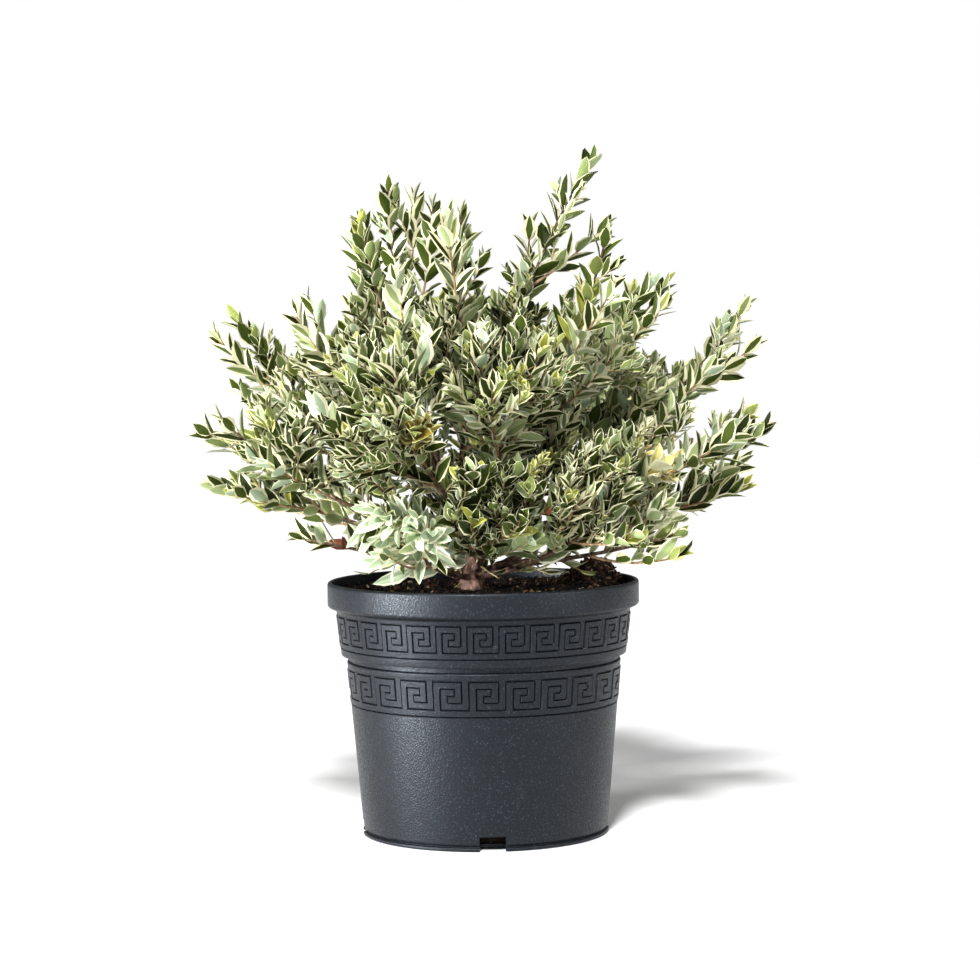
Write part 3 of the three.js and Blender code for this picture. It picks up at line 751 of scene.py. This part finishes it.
def fits(places, limb, spare, dome, room, chains):
    """Whether each place is above the pot, clear of every limb, in the dome or within `room` of its
    own chain, and nearer to its own chain than to any other."""
    gaps = np.array([distance_to(chain, places) for chain in chains])
    own = gaps[limb, np.arange(len(limb))]
    gaps[limb, np.arange(len(limb))] = np.inf
    clear = in_dome(places, dome) | (own < room)
    clear &= ((places > CROWN_BOX[0]) & (places < CROWN_BOX[1])).all(axis=1)
    return clear & (gaps.min(0) > own + spare + CLEARANCE) & off_limbs(places, spare)


def up_to(curves, share):
    """Each curve as far as a share along it, or on past its end."""
    start = curves[:, 0]
    middle = start + (curves[:, 1] - start) * share[:, None]
    return np.stack([start, middle, on_curve(curves, share)], axis=1)


def grow(
    parents, places, offset, low, span, spread, reach, lift, shortest, dome,
    room=TWIG_ROOM, chains=stem_chains,
):
    """New shoots on each parent, one for each of `places`. One starts at the share
    low + span x even_place of the parent's leafy part, opens by `spread` = (least, more) degrees in a
    direction that turns by the golden angle, is `reach` long, bends back along its parent, and stops at
    the last of its steps that fits. Its number is offset + eight times its parent's + its place's, and
    dome, room and chains are as for fits."""
    parent = np.repeat(np.arange(len(parents.limb)), len(places))
    k = np.tile(places, len(parents.limb))
    limb = parents.limb[parent]
    number = offset + 8 * parents.number[parent] + k
    first = parents.first[parent]
    at = first + (1 - first) * (low + span * even_place(k))
    curve = parents.curve[parent]
    along = along_curve(curve, at)
    side, over = frame_on(along, parents.hint[parent])
    roll = (k * GOLDEN_ANGLE + 0.7 * chance(limb, number, 0) + limb)[:, None]
    opening = np.radians(spread[0] + spread[1] * chance(limb, number, 1))[:, None]
    outward = side * np.cos(roll) + over * np.sin(roll)
    length = reach(1 - at, parents.length[parent], chance(limb, number, 2))[:, None]
    chord = along * np.cos(opening) + outward * np.sin(opening)
    chord = unit(chord + (0, 0, lift))
    start = on_curve(curve, at)
    tip = start + chord * length
    made = np.stack([start, (start + tip) / 2 + outward * BEND * length, tip], axis=1)
    share = np.linspace(0, 1 + LEADER_LENGTH / length[:, 0], GROWTH_STEPS + 1).T
    places = on_curve(made[:, None], share).reshape(-1, 3)
    owners = np.repeat(limb, GROWTH_STEPS + 1)
    clear = fits(places, owners, SHOOT_SPARE, dome, room, chains).reshape(share.shape)
    blocked = ~clear & (np.arange(GROWTH_STEPS + 1) > 2)
    stop = np.where(blocked.any(1), blocked.argmax(1) - 1, GROWTH_STEPS)
    made = up_to(made, share[np.arange(len(stop)), stop])
    length = curve_length(made)
    kept = length > shortest
    hint = np.cross(along, outward)
    none = np.zeros(len(limb))
    return Shoots(*[part[kept] for part in (limb, number, made, hint, length, none)])


stem_end = 1 + LEADER_LENGTH / limb_length
stems = Shoots(
    np.arange(len(BOUGHS)),
    np.zeros(len(BOUGHS), int),
    up_to(limb_curves, stem_end),
    limb_hints,
    limb_length + LEADER_LENGTH,
    (limb_bare + 0.3 / limb_length) / stem_end,
)


def shoot_reach(left, length, luck):
    """How long a shoot is: what is left of its stem, by 0.74 to 1.02."""
    return left * length * (0.74 + 0.28 * luck)


def twig_reach(left, length, luck):
    """How long a twig is: 16 mm and about four tenths of what is left of its parent."""
    return 16 + 0.42 * left * length * (0.6 + 0.8 * luck)


def joined(*groups):
    """Several groups of shoots as one."""
    return Shoots(*[np.concatenate(parts) for parts in zip(*groups)])


def pruned(grown):
    """The shoots without those that the shrub has lost."""
    lost = np.zeros(len(grown.limb), bool)
    for name, numbers in PRUNED.items():
        lost |= (grown.limb == BOUGH_NAMES.index(name)) & np.isin(grown.number, numbers)
    return Shoots(*[part[~lost] for part in grown])


shoot_rule = dict(low=0.04, span=0.66, spread=(19, 15), reach=shoot_reach, lift=0.1, shortest=34)
twig_rule = dict(reach=twig_reach, lift=0.12, shortest=15, dome=INNER_DOME)
low_rule = dict(low=-0.36, span=0.36, spread=(40, 20), room=LEADER_ROOM, chains=whole_chains)
inner_places = range(OUTER_SHOOTS, OUTER_SHOOTS + INNER_SHOOTS)
outer_shoots = grow(stems, range(OUTER_SHOOTS), 0, dome=CROWN_DOME, room=LEADER_ROOM, **shoot_rule)
inner_shoots = grow(stems, inner_places, 0, dome=INNER_DOME, **shoot_rule)
shoots = pruned(joined(outer_shoots, inner_shoots))
low_twigs = grow(stems, range(TWIGS_PER_BOUGH), 120, **low_rule, **twig_rule)
stem_twigs = grow(stems, range(TWIGS_PER_STEM), 16, 0.02, 0.9, (34, 18), **twig_rule)
stem_twigs = pruned(joined(low_twigs, stem_twigs))
shoot_twigs = grow(shoots, range(TWIGS_PER_SHOOT), 32, 0.12, 0.84, (32, 18), **twig_rule)

# Each order of wood with its radius at foot and tip, its sides and its rings.
WOOD_ORDERS = (
    (stems, 1.9, 0.7, 6, 14),
    (shoots, 1.2, 0.55, 5, 7),
    (stem_twigs, 0.8, 0.45, 4, 4),
    (shoot_twigs, 0.75, 0.45, 4, 4),
)
wood_places = []
wood_faces = [[], []]
wood_finish = [[], []]
wood_count = 0
for order, (grown, foot, tip, sides, rings) in enumerate(WOOD_ORDERS):
    radii = np.tile(foot + (tip - foot) * np.linspace(0, 1, rings), (len(grown.limb), 1))
    places, faces = tubes(grown.curve, grown.hint, grown.first, np.ones(len(grown.limb)), radii, sides)
    for kind in (0, 1):
        wood_faces[kind].append(faces[kind] + wood_count)
        wood_finish[kind].append(np.full(len(faces[kind]), min(order, 2)))
    wood_places.append(places)
    wood_count += len(places)
wood_finishes = []
for name, dark, light, roughness in (
    ("brown_stem_bark", "40312a", "765d46", 0.8),
    ("tan_shoot_bark", "6a5038", "a68763", 0.7),
    ("pale_twig_bark", "968555", "ccbc90", 0.6),
):
    finish, shader = finish_of(name, light, roughness, 0.38)
    fibres = speckle(finish, 420, 4)
    dress(finish, shader, ramp(finish, fibres, [(0.38, dark), (0.62, light)]), fibres, 0.0004)
    wood_finishes.append(finish)
twigs = make_piece(
    "stems_and_twigs",
    np.concatenate(wood_places),
    [np.concatenate(kind) for kind in wood_faces],
    wood_finishes,
    np.concatenate(wood_finish[0] + wood_finish[1]),
    60,
)
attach(twigs, "root")

# The leaves
# Small pointed leathery leaves in opposite pairs, each pair turned a quarter from the last. A leaf is
# green above with an uneven cream margin and pale grey green below, folded a little along its midrib
# and curled back at its tip. Leaves near a shoot's tip are smaller, closer together and yellower.
PAIR_SPACING = 8.4
TIP_CROWDING = 0.42
STEM_BARE = 0.16
SHOOT_BARE = 0.14
TWIG_BARE = 0.1
MOST_PAIRS = 60
LEAF_LENGTH = 20
LEAF_WIDTH = 7.8
LEAF_THICKNESS = 0.25
MAIN_SIZE = (1.0, 1.3)
MAIN_WIDTH = (1.1, 1.4)
TALL_SIZE = 1.2
TWIG_WIDTH = (0.8, 1.3)
BROAD_SHARE = 0.08
BROAD_SIZE = (1.15, 1.35)
BROAD_WIDTH = 1.4
GREEN_SHARES = [0.8, 0.64, 0.46]
# The green share of leaves with painted shade, on the low front and top left boughs, is wide, so their
# cream margin is thin.
DARK_AND_PAINTED_SHADE_GREEN = 0.85
DROOPING_SIZE = 1.5
DROOPING_GREEN = 0.6
DROOP = -0.9
LIFT = 0.3
LEAST_OPENING = 12
MORE_OPENING = 32
TIP_SHARE = 0.52
SHADED_HEIGHT = 75
CROWN_HEART = np.array([0, 0, MIX_TOP + 70])
STATIONS = np.array([0.18, 0.46, 0.79])
HALF_WIDTHS = np.array([0.62, 1.0, 0.66])
RING = 8
LEAF_POINTS = 2 + RING * len(STATIONS)

# A leaf's points are rings of eight, five across the top from left to right and three back below,
# then the base and the tip. Its parts are 0 green, 1 margin above, 2 underside and 3 margin below, and
# its edges stay sharp along the midrib and both rims.
LEAF_QUADS, ends = ring_faces(len(STATIONS), RING)
LEAF_TRIANGLES = np.concatenate([ends[:RING], np.roll(ends[RING:], -1, axis=1)])
LEAF_PARTS = np.array([1, 0, 0, 1, 3, 2, 2, 3])
LEAF_CREASE = np.zeros((LEAF_POINTS, LEAF_POINTS), bool)
for j in (0, 2, 4):
    line = np.array([LEAF_POINTS - 2, *(RING * np.arange(len(STATIONS)) + j), LEAF_POINTS - 1])
    LEAF_CREASE[line[:-1], line[1:]] = True
LEAF_CREASE |= LEAF_CREASE.T


def blades(base, along, above, length, width, curl, fold, margin):
    """Leaves as places. A point is base + across x + along y + above z, where x is a share of the half
    width, y a share of the length, and z = fold |x| - curl y^2, with the underside a little lower.
    margin is where the cream starts, for each station and side, as a share of the half width."""
    across = np.cross(along, above)
    half = HALF_WIDTHS * width[:, None] / 2
    zero = np.zeros_like(half)
    left = -half * margin[:, :, 0]
    right = half * margin[:, :, 1]
    x = np.stack([-half, left, zero, right, half, right, zero, left], axis=-1).reshape(len(base), -1)
    share = np.repeat(STATIONS, RING)[None]
    y = share * length[:, None]
    z = fold[:, None] * np.abs(x) - curl[:, None] * share**2 * length[:, None]
    z = z - np.tile([0, 0, 0, 0, 0, 0.8, 1, 0.8], len(STATIONS)) * LEAF_THICKNESS
    x, y, z = (np.pad(part, ((0, 0), (0, 2))) for part in (x, y, z))
    y[:, -1] = length
    z[:, -1] = -curl * length
    steps = [d[:, None] * v[..., None] for d, v in ((across, x), (along, y), (above, z))]
    return base[:, None] + sum(steps)


# Leaf colours are dealt out by spray. A tone is four of them: the green and the margin above, and
# the green and the margin below.
LEAF_COLORS = {
    "deep_green": "222c06",
    "leaf_green": "3f4d1a",
    "grey_green": "74825a",
    "soft_green": "818d4c",
    "young_green": "8b8f3a",
    "bronze": "7a692c",
    "pale_yellow": "dccf86",
    "cream": "dddab4",
    "ivory": "e9e8cc",
    "lime_cream": "d3d293",
    "sea_green": "76854f",
    "pale_sea_green": "9cab76",
    "silver_green": "a6b898",
    "dead_brown": "744230",
}
leaf_finishes = [finish_of(f"leaf_{name}", color, 0.42, 0.18)[0] for name, color in LEAF_COLORS.items()]
TONE_COLORS = (
    "deep_green cream leaf_green cream",
    "leaf_green cream sea_green cream",
    "grey_green ivory pale_sea_green ivory",
    "soft_green cream pale_sea_green cream",
    "young_green lime_cream soft_green lime_cream",
    "bronze lime_cream soft_green lime_cream",
    "pale_yellow ivory cream ivory",
    "pale_sea_green ivory silver_green ivory",
    "silver_green ivory silver_green ivory",
    "dead_brown dead_brown dead_brown dead_brown",
)
TONES = np.array([[list(LEAF_COLORS).index(name) for name in tone.split()] for tone in TONE_COLORS])
DEEP, GREEN, GREY, SOFT, YOUNG, BRONZE, YELLOW, WHITISH, SILVER, DEAD = range(10)
# Leaves on these boughs are mostly deep green with a thin cream margin. On the top left that is the
# leaves' own darker tone; on the low front it is partly painted shade, where the crown shades its own
# heart.
DARK_AND_PAINTED_SHADE_BOUGHS = ("low_fore", "top_left")
# Leaves on these right-hand boughs are often paler: partly pale sprays of their own, partly painted light
# on the lit right side of the crown.
PALE_AND_LIGHT_PAINTED_BOUGHS = "mid_right_fore mid_right mid_back_right low_back_right upper_right low_right_fore".split()
# Places in the foremost foliage, with a reach each, where all leaves share a tone.
COLOR_SPOTS = (
    (-99, 389, 10, BRONZE),
    (-42, 285, 8, BRONZE),
    (114, 255, 13, YELLOW),
    (40, 236, 5, DEAD),
    (-86, 208, 6, DEAD),
)


def lot(count, share):
    """Which of `count` things are drawn, when each has the chance `share`."""
    return random.uniform(0, 1, count) < share


# A spray is a stem, shoot or twig with its leaves. Each has its own size, width, margin and tone.
all_shoots = joined(stems, shoots, stem_twigs, shoot_twigs)
spray_count = len(all_shoots.limb)
main_shoots = len(stems.limb) + len(shoots.limb)
bare_share = np.full(spray_count, TWIG_BARE)
bare_share[:main_shoots] = SHOOT_BARE
bare_share[: len(BOUGHS)] = stems.first + STEM_BARE * (1 - stems.first)
random = np.random.default_rng(5)
spray_tone = random.choice(
    [DEEP, GREEN, GREY, SOFT, YOUNG, WHITISH], spray_count, p=[0.5, 0.22, 0.06, 0.08, 0.04, 0.1]
)
spray_size = np.clip(random.lognormal(-0.3, 0.3, spray_count), 0.5, 1.25)
spray_size[:main_shoots] = random.uniform(*MAIN_SIZE, main_shoots)
spray_size[BOUGH_NAMES.index("top_tall")] = TALL_SIZE
spray_width = random.uniform(*TWIG_WIDTH, spray_count)
spray_width[:main_shoots] = random.uniform(*MAIN_WIDTH, main_shoots)
broad = lot(spray_count, BROAD_SHARE)
spray_size[broad] = random.uniform(*BROAD_SIZE, broad.sum())
spray_width[broad] = BROAD_WIDTH
spray_tone[broad] = WHITISH
spray_margin = random.choice(GREEN_SHARES, spray_count, p=[0.35, 0.35, 0.3])
bough_of = np.array(BOUGH_NAMES)[all_shoots.limb]
# Painted shade in part: most sprays on the low front and top left boughs turn deep green with a thin
# margin, which is also the leaves' own darker tone.
dark_and_painted_shade = np.isin(bough_of, DARK_AND_PAINTED_SHADE_BOUGHS)
spray_tone[dark_and_painted_shade & lot(spray_count, 0.75)] = DEEP
spray_margin[dark_and_painted_shade] = DARK_AND_PAINTED_SHADE_GREEN
# Painted light in part: many sprays on the right-hand boughs get a whitish, soft or grey tone that stands
# in for light falling on that side of the crown.
pale = np.isin(bough_of, PALE_AND_LIGHT_PAINTED_BOUGHS) & lot(spray_count, 0.6)
spray_tone[pale] = random.choice([WHITISH, SOFT, GREY], pale.sum())
drooping = bough_of == "low_fore_left"
spray_size[drooping] = DROOPING_SIZE
spray_width[drooping] = 1.0
spray_margin[drooping] = DROOPING_GREEN
spray_tone[drooping] = SILVER

# Pairs are counted from the tip, where they crowd together and their leaves stand up and are small.
pair = np.arange(MOST_PAIRS)
from_tip = PAIR_SPACING * pair * (1 - TIP_CROWDING * np.exp(-pair / 2)) + 1.5
leafy_length = (1 - bare_share) * all_shoots.length
spray, pair = np.nonzero(from_tip * spray_size[:, None] < leafy_length[:, None])
spray = np.repeat(spray, 2)
pair = np.repeat(pair, 2)
leaf_count = len(spray)
second = np.arange(leaf_count) % 2
limb = all_shoots.limb[spray]
share = 1 - from_tip[pair] * spray_size[spray] / all_shoots.length[spray]
curve = all_shoots.curve[spray]
axis = along_curve(curve, share)
side, over = frame_on(axis, all_shoots.hint[spray])
spray_turn = random.uniform(0, 2 * np.pi, spray_count)[spray]
roll = pair * np.pi / 2 + second * np.pi + spray_turn + random.normal(0, 0.16, leaf_count)
opening = LEAST_OPENING + MORE_OPENING * (1 - np.exp(-pair / 3.2))
opening = np.radians(opening + random.normal(0, 6, leaf_count))
outward = side * np.cos(roll)[:, None] + over * np.sin(roll)[:, None]
along = axis * np.cos(opening)[:, None] + outward * np.sin(opening)[:, None]
level = (1 - np.abs(axis[:, 2]))[:, None]
lift = np.where(drooping[spray], DROOP, LIFT)[:, None]
along = unit(along + np.array([0, 0, 1]) * lift * level)
above = axis * np.sin(opening)[:, None] - outward * np.cos(opening)[:, None]
base = on_curve(curve, share)
sunward = unit(base - CROWN_HEART) * 0.8 + (0, 0, 0.6)
above = above + sunward * random.uniform(0.1, 1.3, leaf_count)[:, None]
above = unit(above - (above * along).sum(-1, keepdims=True) * along)
tilt = random.normal(0, 0.45, leaf_count)[:, None]
above = unit(above * np.cos(tilt) + np.cross(along, above) * np.sin(tilt))
grown_size = (TIP_SHARE + (1 - TIP_SHARE) * (1 - np.exp(-(pair + 0.3) / 1.2))) * spray_size[spray]
length = LEAF_LENGTH * grown_size * random.uniform(0.8, 1.14, leaf_count)
width = LEAF_WIDTH * (0.25 + 0.75 * grown_size) * spray_width[spray]
width = width * random.uniform(0.86, 1.14, leaf_count)
leaf_tip = base + along * length[:, None]
kept = off_limbs(leaf_tip, 0.3) & off_limbs(base + along * length[:, None] * 0.4, 1.0)
shaded = (base[:, 2] < MIX_TOP + SHADED_HEIGHT) & (along[:, 2] < 0.15) & ~drooping[spray]
kept &= ~shaded | lot(leaf_count, 0.35)
tone = spray_tone[spray]
fresh = lot(spray_count, 0.3) & ~drooping
tone = np.where((pair < 2) & fresh[spray], YOUNG, tone)
outer = (spray < main_shoots) & (pair < 6) & ~drooping[spray] & lot(leaf_count, 0.55)
tone = np.where(outer, random.choice([DEEP, DEEP, DEEP, GREEN], leaf_count), tone)
stray = lot(leaf_count, 0.3)
tone = np.where(stray, random.choice([DEEP, DEEP, GREEN, GREY, SOFT, WHITISH], leaf_count), tone)
for x, z, reach, spot_tone in COLOR_SPOTS:
    tone[(np.hypot(base[:, 0] - x, base[:, 2] - z) < reach) & (base[:, 1] < -20)] = spot_tone
curl = random.uniform(0.02, 0.2, leaf_count)
fold = random.uniform(0.12, 0.5, leaf_count)
leaf_margin = random.normal(spray_margin[spray], 0.05)[:, None, None]
uneven = random.normal(0, 0.06, (leaf_count, len(STATIONS), 2))
margin = np.clip(leaf_margin + uneven, 0.3, 0.93)
leaf_places = blades(base, along, above, length, width, curl, fold, margin)

# The leaves of neighbouring boughs are joined into four pieces.
low = np.array([name.startswith("low") for name in BOUGH_NAMES])
middle = np.array([name.startswith(("mid", "inner")) for name in BOUGH_NAMES])
fore = np.array(["fore" in name for name in BOUGH_NAMES])
LEAF_MASSES = {
    "leaves_low": low,
    "leaves_mid_fore": middle & fore,
    "leaves_mid_back": middle & ~fore,
    "leaves_top": ~low & ~middle,
}
for name, group in LEAF_MASSES.items():
    members = np.flatnonzero(group)
    chosen = kept & group[limb]
    places = leaf_places[chosen]
    faces = [repeated(kind, len(places), LEAF_POINTS) for kind in (LEAF_QUADS, LEAF_TRIANGLES)]
    colors = TONES[tone[chosen]][:, LEAF_PARTS]
    face_finish = np.concatenate([np.tile(colors, len(STATIONS) - 1).ravel(), np.tile(colors, 2).ravel()])
    leaves = make_piece(name, places.reshape(-1, 3), faces, leaf_finishes, face_finish)
    ends = np.zeros(len(leaves.data.edges) * 2, np.int32)
    leaves.data.edges.foreach_get("vertices", ends)
    ends = ends.reshape(-1, 2) % LEAF_POINTS
    sharp = leaves.data.attributes.new("sharp_edge", "BOOLEAN", "EDGE")
    sharp.data.foreach_set("value", LEAF_CREASE[ends[:, 0], ends[:, 1]])
    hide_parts(*[f"foliage_{BOUGHS[i].name}" for i in members])
    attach(leaves, "root")

# The floor, the light and the camera
# A plain white floor and backdrop, soft sunlight from high up in front, and two small strips that
# light the pot's sides. The camera is a little above the rim and looks slightly down.
FLOOR_HALF = 6000.0
FLOOR_Z = -0.3
SKY_STRENGTH = 0.26
SUN_WAY = (0.13, 0.8, -0.78)
CAMERA_PLACE = (0, -1.9, 0.341)
CAMERA_TILT = np.radians(3.0)
CAMERA_ROLL = np.radians(-0.66)
PICTURE_PIXELS = 980
FOCAL_PIXELS = 2695
SHIFT_PIXELS = 8
floor_finish = finish_of("white_studio_floor", "e8e8e8", 0.9, 0.0)[0]
floor_corners = FLOOR_HALF * np.array([(-1, -1), (1, -1), (1, 1), (-1, 1)])
floor_places = np.insert(floor_corners, 2, FLOOR_Z, axis=1)
floor = make_piece("studio_floor", floor_places, [np.array([(0, 1, 2, 3)])], [floor_finish])

world = bpy.data.worlds.new("white_studio")
world.use_nodes = True
seen = add_node(world, "ShaderNodeLightPath").outputs["Is Camera Ray"]
strength = add_node(world, "ShaderNodeMapRange", Value=seen, To_Min=SKY_STRENGTH, To_Max=1.0)
background = world.node_tree.nodes["Background"]
feed(world, background, {"Color": (1, 1, 1, 1), "Strength": strength.outputs["Result"]})
bpy.context.scene.world = world
bpy.context.scene.view_settings.view_transform = "Standard"


def add_light(name, kind, power, target, place=(0, 0, 0)):
    """A light that faces its target, in metres."""
    light = bpy.data.lights.new(name, kind)
    light.energy = power
    lamp = bpy.data.objects.new(name, light)
    lamp.location = place
    facing = Vector(target) - Vector(place)
    lamp.rotation_euler = facing.to_track_quat("-Z", "Y").to_euler()
    bpy.context.scene.collection.objects.link(lamp)
    return light


add_light("key_light", "SUN", 4.85, SUN_WAY).angle = np.radians(9)
add_light("left_strip", "AREA", 58, (0, 0, 0.12), (-1.5, -0.76, 0.24)).size = 0.45
add_light("right_strip", "AREA", 10, (0, 0, 0.16), (1.45, -0.85, 0.6)).size = 0.3

camera = bpy.data.cameras.new("photo_camera")
camera.sensor_width = 36
camera.lens = camera.sensor_width * FOCAL_PIXELS / PICTURE_PIXELS
camera.shift_x = SHIFT_PIXELS / PICTURE_PIXELS
camera_object = bpy.data.objects.new("photo_camera", camera)
bpy.context.scene.collection.objects.link(camera_object)
looking = Matrix.Rotation(np.pi / 2 - CAMERA_TILT, 4, "X") @ Matrix.Rotation(CAMERA_ROLL, 4, "Z")
camera_object.matrix_world = Matrix.Translation(CAMERA_PLACE) @ looking
bpy.context.scene.camera = camera_object
